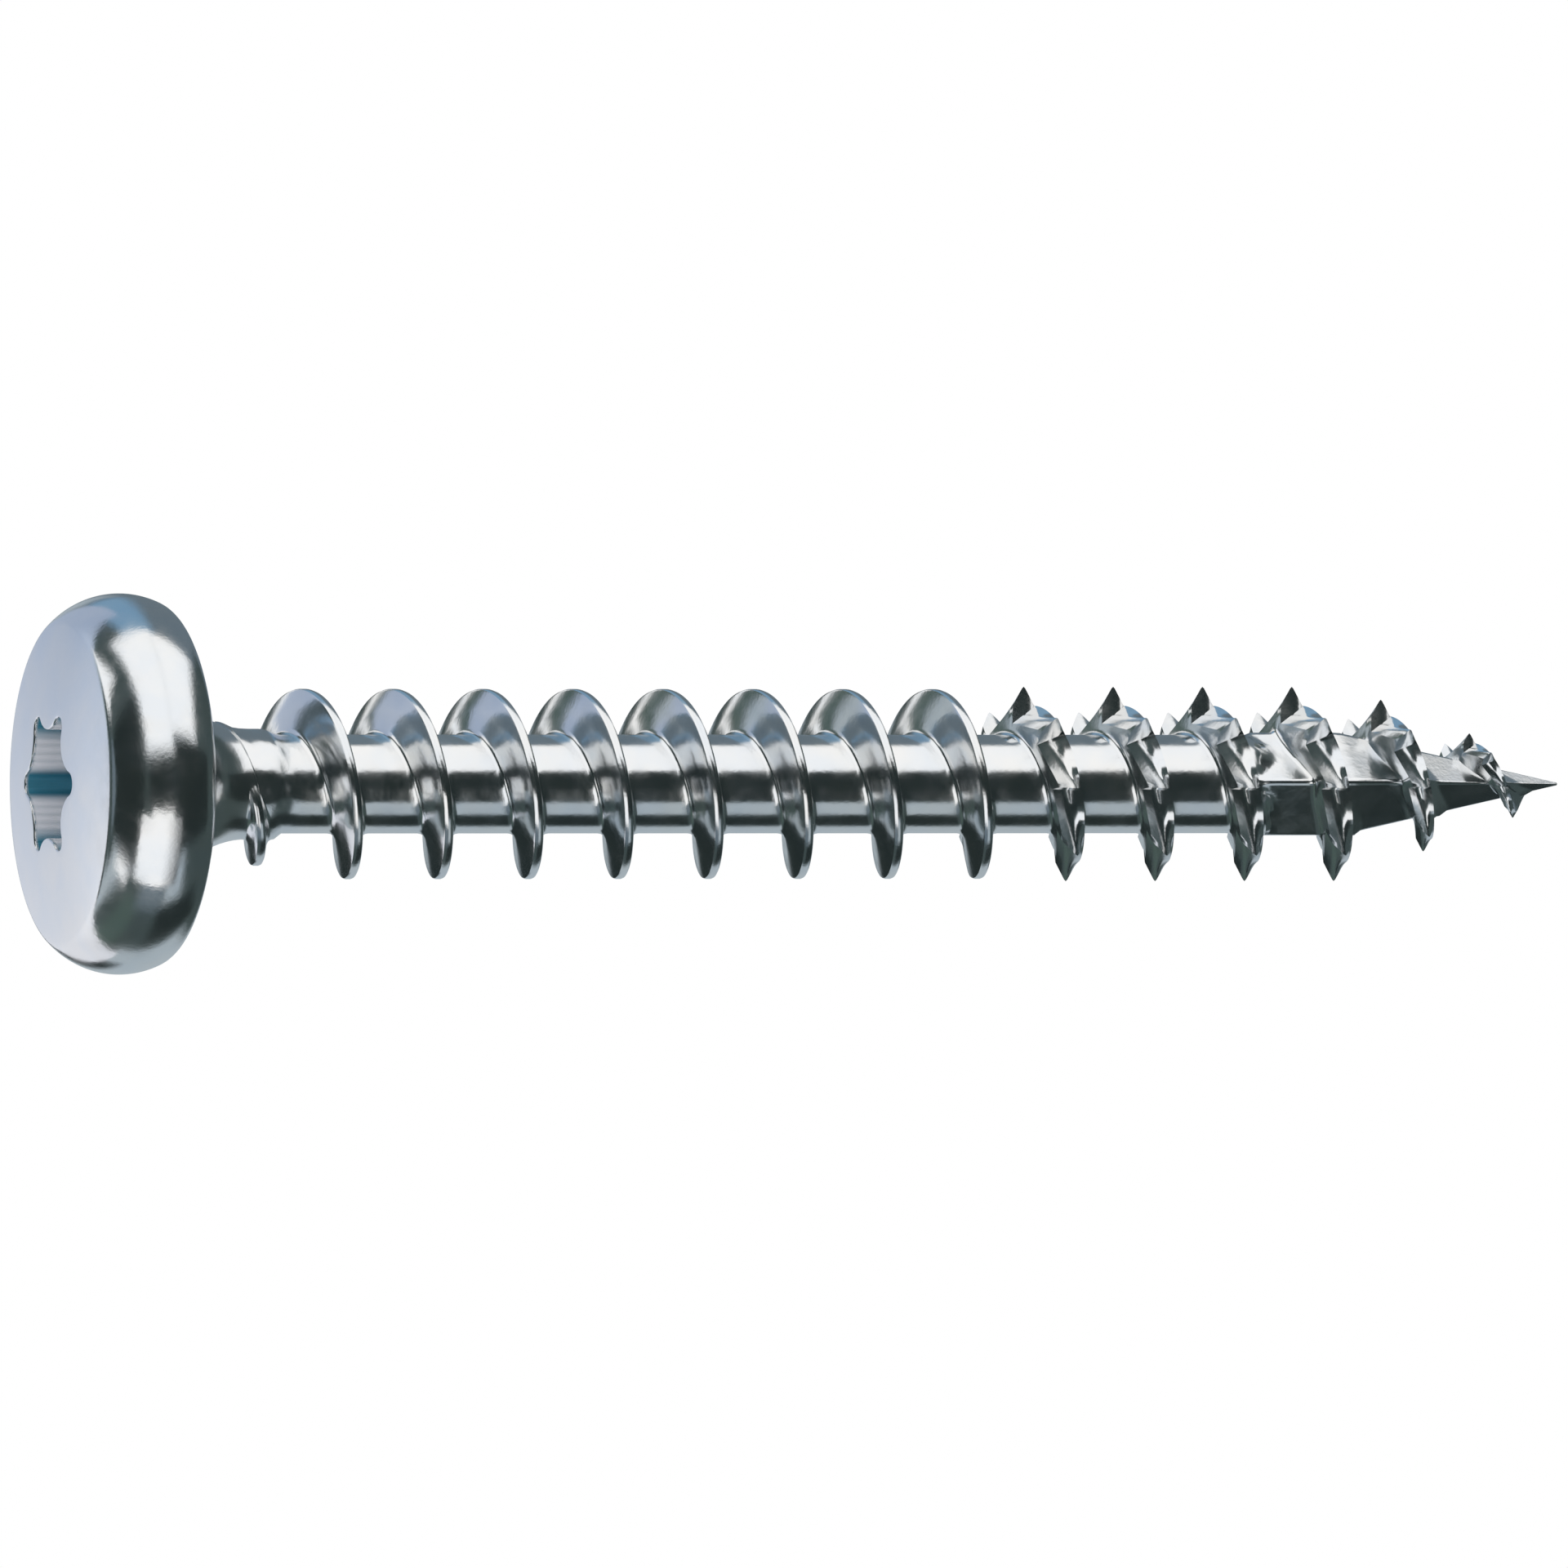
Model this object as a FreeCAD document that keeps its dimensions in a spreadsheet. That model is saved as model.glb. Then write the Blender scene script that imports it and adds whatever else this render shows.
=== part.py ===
import FreeCAD, Part
import math
import os
import Sketcher
from FreeCAD import Vector

# The screw stands on its head: +Z runs along the axis, from the drive face to the cutting point.
# Lengths are in millimetres and angles in degrees. Heights are measured from the crown of the head.
SIZES = (
    ("head_radius", 5.0, "widest ring of the pan head"),
    ("head_height", 3.3, "crown to bearing face"),
    ("crown_radius", 21.0, "radius of the slightly domed drive face"),
    ("rim_radius", 2.15, "radius of the bulging rim seen from the side"),
    ("widest_level", 2.05, "height of the widest ring"),
    ("bearing_round", 0.6, "rounding between rim and bearing face"),
    ("recess_outer", 1.975, "centre to a lobe's end in the six-lobe recess, size 20"),
    ("recess_inner", 1.425, "centre to the ribs between the lobes"),
    ("lobe_radius", 0.305, "radius of a lobe's end"),
    ("recess_depth", 1.95, "crown to the recess floor"),
    ("drill_radius", 1.3, "radius of the cone in the recess floor"),
    ("drill_depth", 0.35, "depth of the cone in the recess floor"),
    ("neck_radius", 1.45, "plain neck under the head"),
    ("flare_radius", 2.6, "hollow flare from bearing face to neck"),
    ("flare_end", 5.6, "height where the flare meets the neck"),
    ("neck_end", 6.0, "height where the neck starts to narrow"),
    ("core_start", 6.4, "height where the core starts"),
    ("core_radius", 1.3, "core between the thread turns"),
    ("core_end", 33.3, "height where the round core ends"),
    ("root_radius", 0.8, "small end of the cone that leads the core into the point"),
    ("root_end", 34.3, "height where that cone ends inside the point"),
    ("point_start", 33.4, "height where the four flats start"),
    ("point_taper", 36.0, "height where the flats start to taper"),
    ("tip_level", 42.15, "height of the tip"),
    ("arris_radius", 1.4, "centre to an arris of the four-sided point"),
    ("arris_azimuth", 87.4, "azimuth of one arris"),
    ("tip_radius", 0.03, "centre to a corner of the tip's blunt end"),
    ("pitch", 2.5, "thread pitch"),
    ("start_azimuth", 250.0, "azimuth where the thread comes out of the neck"),
    ("thread_start", 5.12, "height where the thread comes out of the neck"),
    ("thread_full", 6.71, "height where the thread has its full radius"),
    ("thread_radius", 2.5, "crest of the plain thread"),
    ("crest_width", 0.24, "width of the blunt crest of the plain thread"),
    ("crest_bevel", 0.07, "bevel on both sides of the blunt crest"),
    ("plain_flank", 12.0, "slope of the plain thread's flanks"),
    ("serration_start", 25.98, "height where the plain thread turns into the serrated one"),
    ("tooth_radius", 2.6, "crest of the serrated thread"),
    ("tooth_rise", 0.53, "height of a tooth's tip above the shoulders of the ridge"),
    ("tooth_width", 0.56, "width of the serrated ridge at its shoulders"),
    ("tooth_flank", 5.0, "slope of the serrated ridge's flanks"),
    ("tooth_count", 8, "saw teeth in one turn"),
    ("tooth_azimuth", 2.0, "azimuth of the tip of one saw tooth"),
    ("notch_lead", 2.0, "angle from a tooth's tip down its steep face to the notch"),
    ("notch_middle", 0.75, "depth of a notch below the tips, in the middle of the ridge"),
    ("notch_side", 1.0, "depth of a notch below the tips, on the side that faces the head"),
    ("crest_taper", 36.2, "height where the crest starts to taper"),
    ("thread_end", 41.2, "height where the thread ends on the point"),
    ("end_radius", 0.8, "crest radius where the thread ends"),
    ("buried_radius", 0.6, "how near the axis the thread reaches inside the core"),
)
STATIONS_PER_TURN = 16
SEWING_GAP = 1e-5
FULL_TURN = 360.0
QUARTER_TURN = FULL_TURN / 4
POINT_SIDES = 4
LOBES = 6
LOBE_SHARE = FULL_TURN / LOBES

doc = FreeCAD.newDocument("screw")
sheet = doc.addObject("Spreadsheet::Sheet", "Sizes")
for row, (alias, value, note) in enumerate(SIZES, start=1):
    sheet.set(f"A{row}", note)
    sheet.set(f"B{row}", str(value))
    sheet.setAlias(f"B{row}", alias)
doc.recompute()


def size(alias):
    return float(sheet.get(alias))


def polar(radius, azimuth, height=0.0):
    angle = math.radians(azimuth)
    return Vector(radius * math.cos(angle), radius * math.sin(angle), height)


# Sketching

ORIGIN = (-1, 1)
V_AXIS = -2
START, END, CENTRE = range(1, 4)


def sketch_on(body, name, plane, level=None):
    """A sketch on one of the body's own planes, raised by a named height."""
    sketch = body.newObject("Sketcher::SketchObject", name)
    support = [feature for feature in body.Origin.OriginFeatures if feature.Role == plane][0]
    sketch.AttachmentSupport = (support, [""])
    sketch.MapMode = "FlatFace"
    if level:
        sketch.setExpression("AttachmentOffset.Base.z", level)
    return sketch


def bind(sketch, name, expression, *constraint):
    """A dimension of the sketch that follows the named sizes."""
    index = sketch.addConstraint(Sketcher.Constraint(*constraint))
    sketch.renameConstraint(index, name)
    sketch.setExpression(f"Constraints.{name}", expression)


def hold(sketch, *constraint):
    sketch.addConstraint(Sketcher.Constraint(*constraint))


def line(sketch, first, last):
    return sketch.addGeometry(Part.LineSegment(first, last), False)


def arc(sketch, centre, first, last):
    """An arc about centre from first to last, anticlockwise in the sketch."""
    begin = math.atan2(first.y - centre.y, first.x - centre.x)
    finish = math.atan2(last.y - centre.y, last.x - centre.x)
    circle = Part.Circle(centre, Vector(0, 0, 1), (first - centre).Length)
    return sketch.addGeometry(Part.ArcOfCircle(circle, begin, finish), False)


# Turned blank: head, neck, core and the cone that leads into the point.
# In its sketch x is the radius and y the height above the crown.

blank = doc.addObject("PartDesign::Body", "Blank")
profile = sketch_on(blank, "blank_profile", "XZ_Plane")

crown_centre = Vector(0, size("crown_radius"), 0)
rim_centre = Vector(size("head_radius") - size("rim_radius"), size("widest_level"), 0)
flare_centre = Vector(size("neck_radius") + size("flare_radius"), size("flare_end"), 0)


def crown_edge():
    """Where the domed drive face meets the rim: two circles about crown_centre and rim_centre."""
    away = rim_centre - crown_centre
    along = (away.Length**2 + size("crown_radius")**2 - size("rim_radius")**2) / (2 * away.Length)
    aside = math.sqrt(size("crown_radius")**2 - along**2)
    unit = Vector(away).normalize()
    return crown_centre + unit * along + Vector(-unit.y, unit.x, 0) * aside


def beside(centre, radius, height, side):
    """The point of a circle at a height, on its outer (+1) or inner (-1) side."""
    return Vector(centre.x + side * math.sqrt(radius**2 - (height - centre.y)**2), height, 0)


crown = Vector(0, 0, 0)
face_edge = crown_edge()
rounding_level = size("head_height") - size("bearing_round")
rounding_centre = beside(rim_centre, size("rim_radius") - size("bearing_round"), rounding_level, 1)
rim_unit = Vector(rounding_centre - rim_centre).normalize()
rim_end = rim_centre + rim_unit * size("rim_radius")
bearing_edge = Vector(rounding_centre.x, size("head_height"), 0)
flare_edge = beside(flare_centre, size("flare_radius"), size("head_height"), -1)
neck_top = Vector(size("neck_radius"), size("flare_end"), 0)
neck_foot = Vector(size("neck_radius"), size("neck_end"), 0)
core_top = Vector(size("core_radius"), size("core_start"), 0)
core_foot = Vector(size("core_radius"), size("core_end"), 0)
root_edge = Vector(size("root_radius"), size("root_end"), 0)
root_centre = Vector(0, size("root_end"), 0)

crown_arc = arc(profile, crown_centre, crown, face_edge)
rim_arc = arc(profile, rim_centre, face_edge, rim_end)
rounding = arc(profile, rounding_centre, rim_end, bearing_edge)
bearing = line(profile, bearing_edge, flare_edge)
flare_arc = arc(profile, flare_centre, neck_top, flare_edge)
neck = line(profile, neck_top, neck_foot)
narrowing = line(profile, neck_foot, core_top)
core = line(profile, core_top, core_foot)
lead_in = line(profile, core_foot, root_edge)
root = line(profile, root_edge, root_centre)
axis = line(profile, root_centre, crown)

hold(profile, "Coincident", crown_arc, START, *ORIGIN)
hold(profile, "Coincident", crown_arc, END, rim_arc, START)
hold(profile, "Tangent", rim_arc, END, rounding, START)
hold(profile, "Tangent", rounding, END, bearing, START)
hold(profile, "Coincident", bearing, END, flare_arc, END)
hold(profile, "Tangent", flare_arc, START, neck, START)
hold(profile, "Coincident", neck, END, narrowing, START)
hold(profile, "Coincident", narrowing, END, core, START)
hold(profile, "Coincident", core, END, lead_in, START)
hold(profile, "Coincident", lead_in, END, root, START)
hold(profile, "Coincident", root, END, axis, START)
hold(profile, "Coincident", axis, END, *ORIGIN)
hold(profile, "PointOnObject", crown_arc, CENTRE, V_AXIS)
hold(profile, "Horizontal", bearing)
hold(profile, "Vertical", neck)
hold(profile, "Vertical", core)
hold(profile, "Horizontal", root)
hold(profile, "Vertical", axis)
bind(profile, "crown_radius", "Sizes.crown_radius", "Radius", crown_arc, size("crown_radius"))
bind(profile, "rim_radius", "Sizes.rim_radius", "Radius", rim_arc, size("rim_radius"))
bind(profile, "rim_across", "Sizes.head_radius - Sizes.rim_radius",
     "DistanceX", *ORIGIN, rim_arc, CENTRE, rim_centre.x)
bind(profile, "rim_level", "Sizes.widest_level", "DistanceY", *ORIGIN, rim_arc, CENTRE, rim_centre.y)
bind(profile, "bearing_level", "Sizes.head_height", "DistanceY", *ORIGIN, bearing, START, bearing_edge.y)
bind(profile, "bearing_round", "Sizes.bearing_round", "Radius", rounding, size("bearing_round"))
bind(profile, "flare_radius", "Sizes.flare_radius", "Radius", flare_arc, size("flare_radius"))
bind(profile, "flare_level", "Sizes.flare_end", "DistanceY", *ORIGIN, neck, START, neck_top.y)
bind(profile, "neck_across", "Sizes.neck_radius", "DistanceX", *ORIGIN, neck, START, neck_top.x)
bind(profile, "neck_level", "Sizes.neck_end", "DistanceY", *ORIGIN, neck, END, neck_foot.y)
bind(profile, "core_across", "Sizes.core_radius", "DistanceX", *ORIGIN, core, START, core_top.x)
bind(profile, "core_level", "Sizes.core_start", "DistanceY", *ORIGIN, core, START, core_top.y)
bind(profile, "core_foot", "Sizes.core_end", "DistanceY", *ORIGIN, core, END, core_foot.y)
bind(profile, "root_across", "Sizes.root_radius", "DistanceX", *ORIGIN, root, START, root_edge.x)
bind(profile, "root_level", "Sizes.root_end", "DistanceY", *ORIGIN, root, START, root_edge.y)

turning = blank.newObject("PartDesign::Revolution", "turning")
turning.Profile = profile
turning.ReferenceAxis = (profile, ["V_Axis"])
turning.Angle = FULL_TURN
doc.recompute()

# Four-sided cutting point: a square bar whose arrises stand proud of the core, then a long pyramid.


def square(name, level, radius):
    """A square about the axis, set by its arris radius and the azimuth of its first corner."""
    sketch = sketch_on(blank, name, "XY_Plane", level)
    corners = [
        polar(size(radius), size("arris_azimuth") + FULL_TURN / POINT_SIDES * turn)
        for turn in range(POINT_SIDES)
    ]
    sides = [line(sketch, corners[turn - 1], corners[turn]) for turn in range(POINT_SIDES)]
    ring = sketch.addGeometry(Part.Circle(Vector(0, 0, 0), Vector(0, 0, 1), size(radius)), True)
    spoke = sketch.addGeometry(Part.LineSegment(Vector(0, 0, 0), corners[0]), True)
    hold(sketch, "Coincident", ring, CENTRE, *ORIGIN)
    hold(sketch, "Coincident", spoke, START, *ORIGIN)
    hold(sketch, "Coincident", spoke, END, sides[0], END)
    for turn in range(POINT_SIDES):
        hold(sketch, "Coincident", sides[turn - 1], END, sides[turn], START)
        hold(sketch, "PointOnObject", sides[turn], START, ring)
    for side in sides[1:]:
        hold(sketch, "Equal", sides[0], side)
    bind(sketch, "arris_radius", f"Sizes.{radius}", "Radius", ring, size(radius))
    bind(sketch, "arris_azimuth", "Sizes.arris_azimuth", "Angle", spoke, math.radians(size("arris_azimuth")))
    return sketch


point_bar = blank.newObject("PartDesign::Pad", "point_bar")
point_bar.Profile = square("bar_section", "Sizes.point_start", "arris_radius")
point_bar.setExpression("Length", "Sizes.point_taper - Sizes.point_start")
doc.recompute()
pyramid = blank.newObject("PartDesign::AdditiveLoft", "pyramid")
pyramid.Profile = square("pyramid_foot", "Sizes.point_taper", "arris_radius")
pyramid.Sections = [square("pyramid_tip", "Sizes.tip_level", "tip_radius")]
pyramid.Ruled = True
doc.recompute()

# Six-lobe recess: one sixth of it is cut and repeated about the axis, with a drilled cone in its floor.

lobe = sketch_on(blank, "recess_sixth", "XY_Plane")
lobe_centre = Vector(0, size("recess_outer") - size("lobe_radius"), 0)


def rib_radius():
    """The radius of the ribs between the lobes that makes them tangent to the lobe ends."""
    inner = size("recess_inner")
    lobe_end = size("lobe_radius")
    reach = lobe_centre.y
    slant = reach * math.cos(math.radians(LOBE_SHARE / 2))
    return (reach**2 + inner**2 - 2 * inner * slant - lobe_end**2) / (2 * (lobe_end - inner + slant))


right_azimuth = QUARTER_TURN - LOBE_SHARE / 2
left_azimuth = QUARTER_TURN + LOBE_SHARE / 2
rib_right = polar(size("recess_inner"), right_azimuth)
rib_left = polar(size("recess_inner"), left_azimuth)
right_centre = polar(size("recess_inner") + rib_radius(), right_azimuth)
left_centre = polar(size("recess_inner") + rib_radius(), left_azimuth)
share = size("lobe_radius") / (size("lobe_radius") + rib_radius())
right_touch = lobe_centre + (right_centre - lobe_centre) * share
left_touch = lobe_centre + (left_centre - lobe_centre) * share

right_side = line(lobe, Vector(0, 0, 0), rib_right)
right_rib = arc(lobe, right_centre, right_touch, rib_right)
lobe_end = arc(lobe, lobe_centre, right_touch, left_touch)
left_rib = arc(lobe, left_centre, rib_left, left_touch)
left_side = line(lobe, rib_left, Vector(0, 0, 0))
hold(lobe, "Coincident", right_side, START, *ORIGIN)
hold(lobe, "Coincident", right_side, END, right_rib, END)
hold(lobe, "Tangent", right_rib, START, lobe_end, START)
hold(lobe, "Tangent", lobe_end, END, left_rib, END)
hold(lobe, "Coincident", left_rib, START, left_side, START)
hold(lobe, "Coincident", left_side, END, *ORIGIN)
hold(lobe, "PointOnObject", right_rib, CENTRE, right_side)
hold(lobe, "PointOnObject", left_rib, CENTRE, left_side)
hold(lobe, "PointOnObject", lobe_end, CENTRE, V_AXIS)
hold(lobe, "Equal", right_side, left_side)
hold(lobe, "Angle", right_side, math.radians(right_azimuth))
hold(lobe, "Angle", left_side, math.radians(left_azimuth - FULL_TURN / 2))
bind(lobe, "recess_inner", "Sizes.recess_inner", "Distance", right_side, size("recess_inner"))
bind(lobe, "lobe_radius", "Sizes.lobe_radius", "Radius", lobe_end, size("lobe_radius"))
bind(lobe, "lobe_reach", "Sizes.recess_outer - Sizes.lobe_radius",
     "DistanceY", *ORIGIN, lobe_end, CENTRE, lobe_centre.y)
doc.recompute()
uncut_volume = blank.Shape.Volume

recess_sixth = blank.newObject("PartDesign::Pocket", "recess_sixth_cut")
recess_sixth.Profile = lobe
recess_sixth.Reversed = True
recess_sixth.setExpression("Length", "Sizes.recess_depth")
recess = blank.newObject("PartDesign::PolarPattern", "recess")
recess.Originals = [recess_sixth]
recess.Axis = ([feature for feature in blank.Origin.OriginFeatures if feature.Role == "Z_Axis"][0], [""])
recess.Angle = FULL_TURN
recess.Occurrences = LOBES
blank.Tip = recess
doc.recompute()

cone = sketch_on(blank, "recess_cone", "XZ_Plane")
cone_foot = Vector(0, size("recess_depth"), 0)
cone_edge = Vector(size("drill_radius"), size("recess_depth"), 0)
cone_tip = Vector(0, size("recess_depth") + size("drill_depth"), 0)
cone_base = line(cone, cone_foot, cone_edge)
cone_slope = line(cone, cone_edge, cone_tip)
cone_axis = line(cone, cone_tip, cone_foot)
hold(cone, "Coincident", cone_base, END, cone_slope, START)
hold(cone, "Coincident", cone_slope, END, cone_axis, START)
hold(cone, "Coincident", cone_axis, END, cone_base, START)
hold(cone, "Horizontal", cone_base)
hold(cone, "Vertical", cone_axis)
hold(cone, "PointOnObject", cone_base, START, V_AXIS)
bind(cone, "recess_depth", "Sizes.recess_depth", "DistanceY", *ORIGIN, cone_base, START, cone_foot.y)
bind(cone, "drill_radius", "Sizes.drill_radius", "DistanceX", cone_base, START, cone_base, END, cone_edge.x)
bind(cone, "drill_depth", "Sizes.drill_depth", "DistanceY", cone_base, START, cone_slope, END,
     size("drill_depth"))
drill = blank.newObject("PartDesign::Groove", "recess_drill")
drill.Profile = cone
drill.ReferenceAxis = (cone, ["V_Axis"])
drill.Angle = FULL_TURN
doc.recompute()

# Thread: a right-hand ridge wound round the core. Its section grows out of the neck, keeps a blunt
# bevelled crest along the plain stretch, and turns into a sharp serrated ridge that tapers to the tip.


def azimuth_at(height):
    return size("start_azimuth") + FULL_TURN * (height - size("thread_start")) / size("pitch")


def height_at(azimuth):
    return size("thread_start") + size("pitch") * (azimuth - size("start_azimuth")) / FULL_TURN


def buried_at(height):
    """Inner radius of the ridge: inside the core, and shrinking with the pyramid."""
    left = (size("tip_level") - height) / (size("tip_level") - size("point_taper"))
    return size("buried_radius") * min(1.0, left)


def plain_crest(height):
    """Crest radius while the thread grows out of the neck, and after."""
    grown = (height - size("thread_start")) / (size("thread_full") - size("thread_start"))
    rise = math.sin(math.pi / 2 * min(1.0, max(0.0, grown)))
    return size("core_radius") + (size("thread_radius") - size("core_radius")) * rise


def tooth_crest(height):
    """Radius of the saw teeth's tips: constant, then a straight taper to the thread's end."""
    gone = (height - size("crest_taper")) / (size("thread_end") - size("crest_taper"))
    return size("tooth_radius") - (size("tooth_radius") - size("end_radius")) * max(0.0, gone)


def notched(azimuth):
    """How far the ridge is down in a notch: 0 at a tooth's tip, 1 at the foot of its steep face."""
    step = FULL_TURN / size("tooth_count")
    past = (azimuth - size("tooth_azimuth")) % step
    lead = size("notch_lead")
    return past / lead if past < lead else (step - past) / (step - lead)


def plain_section(height):
    """Radius and offset along the axis of each corner of the plain ridge."""
    crest = plain_crest(height)
    buried = buried_at(height)
    shoulder = crest - size("crest_bevel")
    half = size("crest_width") / 2
    foot = half + (shoulder - buried) * math.tan(math.radians(size("plain_flank")))
    top = half - size("crest_bevel")
    return [(buried, -foot), (shoulder, -half), (crest, -top), (crest, top), (shoulder, half), (buried, foot)]


def tooth_section(height):
    """The same for the sharp ridge: a roof at a tooth's tip, slanting down towards the head in a notch."""
    crest = tooth_crest(height)
    buried = buried_at(height)
    shrink = crest / size("tooth_radius")
    sunk = notched(azimuth_at(height))
    shoulder = crest - shrink * size("tooth_rise")
    middle = crest - shrink * size("notch_middle") * sunk
    low_shoulder = shoulder - shrink * (size("notch_side") - size("tooth_rise")) * sunk
    half = shrink * size("tooth_width") / 2
    slope = math.tan(math.radians(size("tooth_flank")))
    foot = half + (shoulder - buried) * slope
    low_half = half + (shoulder - low_shoulder) * slope
    return [(buried, -foot), (low_shoulder, -low_half), (middle, 0.0), (shoulder, half), (buried, foot)]


def tooth_breaks():
    """Heights of every tip and every notch foot between the start and the end of the saw teeth."""
    step = FULL_TURN / size("tooth_count")
    first = math.ceil((azimuth_at(size("serration_start")) - size("tooth_azimuth")) / step) - 1
    last = math.floor((azimuth_at(size("thread_end")) - size("tooth_azimuth")) / step)
    tips = [size("tooth_azimuth") + step * tooth for tooth in range(first, last + 1)]
    return [height_at(tip + past) for tip in tips for past in (0.0, size("notch_lead"))]


def corners(section, height):
    """Where the corners of the section lie when the thread has reached a height."""
    return [polar(radius, azimuth_at(height), height + offset) for radius, offset in section(height)]


def wound(section, corner, lower, upper):
    """The smooth curve of one corner between two heights."""
    stations = math.ceil(STATIONS_PER_TURN * (upper - lower) / size("pitch"))
    heights = [lower + (upper - lower) * station / stations for station in range(stations + 1)]
    curve = Part.BSplineCurve()
    curve.interpolate(
        Points=[corners(section, height)[corner] for height in heights],
        Parameters=heights,
    )
    return curve


def ribbon(first, second):
    """A face with straight rulings between the curves of two neighbouring corners."""
    surface = Part.BSplineSurface()
    surface.buildFromPolesMultsKnots([first.getPoles(), second.getPoles()], [2, 2], first.getMultiplicities(),
                                     [0.0, 1.0], first.getKnots(), False, False, 1, first.Degree)
    return surface.toShape()


def smooth_faces(section, lower, upper):
    """The ridge between two heights, one curved face to each side of its section."""
    curves = [wound(section, corner, lower, upper) for corner in range(len(section(lower)))]
    return [ribbon(curves[side - 1], curves[side]) for side in range(len(curves))]


def flat_faces(section, lower, upper):
    """The ridge between two heights, two flat faces to each side of its section."""
    near = corners(section, lower)
    far = corners(section, upper)
    triangles = []
    for side in range(len(near)):
        triangles.append([near[side - 1], near[side], far[side]])
        triangles.append([near[side - 1], far[side], far[side - 1]])
    return [Part.Face(Part.makePolygon(triangle + triangle[:1])) for triangle in triangles]


def ridge(section, faces_between, bottom, top, breaks):
    """A closed solid wound along the thread between two heights, with an edge across it at each break."""
    levels = [bottom] + [level for level in sorted(breaks) if bottom < level < top] + [top]
    faces = []
    for lower, upper in zip(levels, levels[1:]):
        faces += faces_between(section, lower, upper)
    for height in (bottom, top):
        outline = corners(section, height)
        faces.append(Part.Face(Part.makePolygon(outline + outline[:1])))
    skin = Part.Compound(faces)
    skin.sewShape(SEWING_GAP)
    shell = skin.Shells[0]
    if Part.Solid(shell).Volume < 0:
        shell.reverse()
    return Part.Solid(shell)


turns = math.ceil((size("serration_start") - size("thread_full")) / size("pitch"))
turn_levels = [size("thread_full") + size("pitch") * turn for turn in range(turns)]
plain_thread = doc.addObject("Part::Feature", "PlainThread")
plain_thread.Shape = ridge(
    plain_section, smooth_faces, size("thread_start"), size("serration_start"), turn_levels
)
serrated_thread = doc.addObject("Part::Feature", "SerratedThread")
serrated_thread.Shape = ridge(
    tooth_section, flat_faces, size("serration_start"), size("thread_end"), tooth_breaks()
)

# The whole screw is one forged and rolled solid. It is set down on the rim of its recess, which is
# the lowest part of the domed face, so the crown's own height above that rim is taken off.

screw = doc.addObject("Part::MultiFuse", "Screw")
screw.Shapes = [blank, plain_thread, serrated_thread]
screw.Label = "pan_head_screw"
screw.setExpression(
    "Placement.Base.z",
    "sqrt(Sizes.crown_radius^2 - Sizes.recess_inner^2) - Sizes.crown_radius",
)
doc.recompute()

for item in doc.Objects:
    if {"Invalid", "Error"} & set(item.State):
        raise RuntimeError(f"{item.Name} failed: {item.State}")
for item in (blank, plain_thread, serrated_thread, screw):
    if item.Shape.isNull() or not item.Shape.isValid():
        raise RuntimeError(f"{item.Name} has no valid shape")
if blank.Shape.Volume >= uncut_volume:
    raise RuntimeError("the recess cut nothing")
if len(screw.Shape.Solids) != 1:
    raise RuntimeError("the screw is not one solid")

os.makedirs("parts", exist_ok=True)
for part in (screw,):
    part.Shape.exportStep(f"parts/{part.Label}.step")
    print(part.Label, "volume", round(part.Shape.Volume, 1), "faces", len(part.Shape.Faces))
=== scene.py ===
import math
from bisect import bisect_left

import bmesh
import bpy
from mathutils import Matrix, Vector


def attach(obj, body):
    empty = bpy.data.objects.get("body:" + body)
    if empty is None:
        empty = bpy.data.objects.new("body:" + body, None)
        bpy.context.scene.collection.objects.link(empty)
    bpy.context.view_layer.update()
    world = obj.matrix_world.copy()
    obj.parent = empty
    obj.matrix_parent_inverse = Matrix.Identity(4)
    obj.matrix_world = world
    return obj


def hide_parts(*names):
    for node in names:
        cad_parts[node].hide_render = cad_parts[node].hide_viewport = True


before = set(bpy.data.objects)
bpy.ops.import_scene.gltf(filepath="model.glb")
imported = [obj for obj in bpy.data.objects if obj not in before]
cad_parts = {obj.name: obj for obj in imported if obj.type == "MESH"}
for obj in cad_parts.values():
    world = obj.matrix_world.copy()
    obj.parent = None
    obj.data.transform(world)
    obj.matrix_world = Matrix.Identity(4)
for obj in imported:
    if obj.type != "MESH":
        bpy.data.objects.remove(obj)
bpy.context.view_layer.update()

# Screw: one length of steel wire. Its head and six-lobe recess are forged, its thread is rolled and
# its four-sided point is pinched, and then the whole screw is zinc plated. Nothing on it comes apart.
# Lengths are in millimetres and azimuths in degrees. Levels are measured from the crown of the head.

MM = 0.001
FULL_TURN = 360.0

STATIONS = 144
STATION = FULL_TURN / STATIONS
PITCH = 2.5
THREAD_START = 5.12
THREAD_FULL = 6.71
START_AZIMUTH = 250.0
THREAD_RADIUS = 2.5
CREST_HALF = 0.12
CREST_BEVEL = 0.07
PLAIN_FLANK = math.radians(12.0)
ROOT_FILLET = 0.2

SERRATION_START = 25.98
SERRATION_BLEND = 0.12
TOOTH_RADIUS = 2.6
TOOTH_RISE = 0.53
TOOTH_HALF = 0.28
TOOTH_FLANK = math.radians(5.0)
TOOTH_STEP = 45.0
TOOTH_AZIMUTH = 2.4
NOTCH_LEAD = STATION
NOTCH_MIDDLE = 0.75
NOTCH_SIDE = 1.0
RIDGE_ROUND = 0.03
CREST_TAPER = 36.2
THREAD_END = 41.2
THREAD_FADE = 0.05
END_RADIUS = 0.8

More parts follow.
